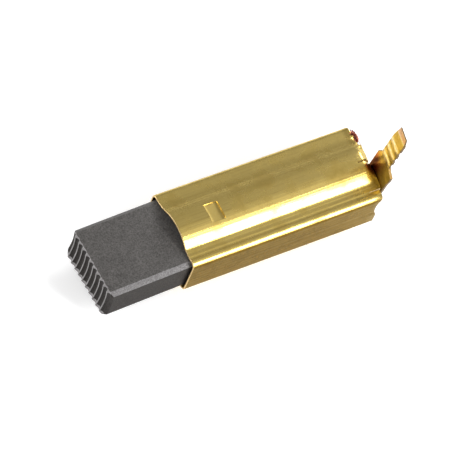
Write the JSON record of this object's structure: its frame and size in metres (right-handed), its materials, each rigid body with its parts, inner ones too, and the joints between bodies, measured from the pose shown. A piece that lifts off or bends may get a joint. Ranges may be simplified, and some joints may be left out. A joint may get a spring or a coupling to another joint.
{
  "type": "carbon brush",
  "caption": "Motor carbon brush: grooved carbon block that slides in a folded brass sleeve, pushed out by a coil spring, wired by a copper shunt, with a push-on tab terminal.",
  "frame": {"origin": "middle of the sleeve's mouth, on the sleeve's axis", "axes": "+X into the sleeve, from the mouth to the closed rear and the terminal; +Z out of the crowned wide side with the stamped mark; +Y across the sleeve"},
  "size_m": [0.0448, 0.012, 0.0202],
  "materials": {
    "carbon": "dry pressed carbon, fine grained",
    "brass": "bright rolled sheet",
    "terminal": "bright rolled sheet, slightly tarnished",
    "copper": "braided bare copper wire",
    "powder": "tamped copper powder",
    "spring_steel": "bare spring wire"
  },
  "bodies": {
    "holder": {"brass_sleeve": "brass", "terminal_blade": "terminal", "compression_spring": "spring_steel", "shunt_braid": "copper"},
    "brush": {"carbon_block": "carbon", "tamped_plug": "powder"}
  },
  "joints": [
    {"name": "brush_slide", "type": "slide", "parent": "holder", "child": "brush", "axis": [1, 0, 0], "range_m": [0, 0.0105], "stiffness_N_per_m": 100, "springref_m": -0.015, "deforming": ["compression_spring", "shunt_braid"]}
  ]
}
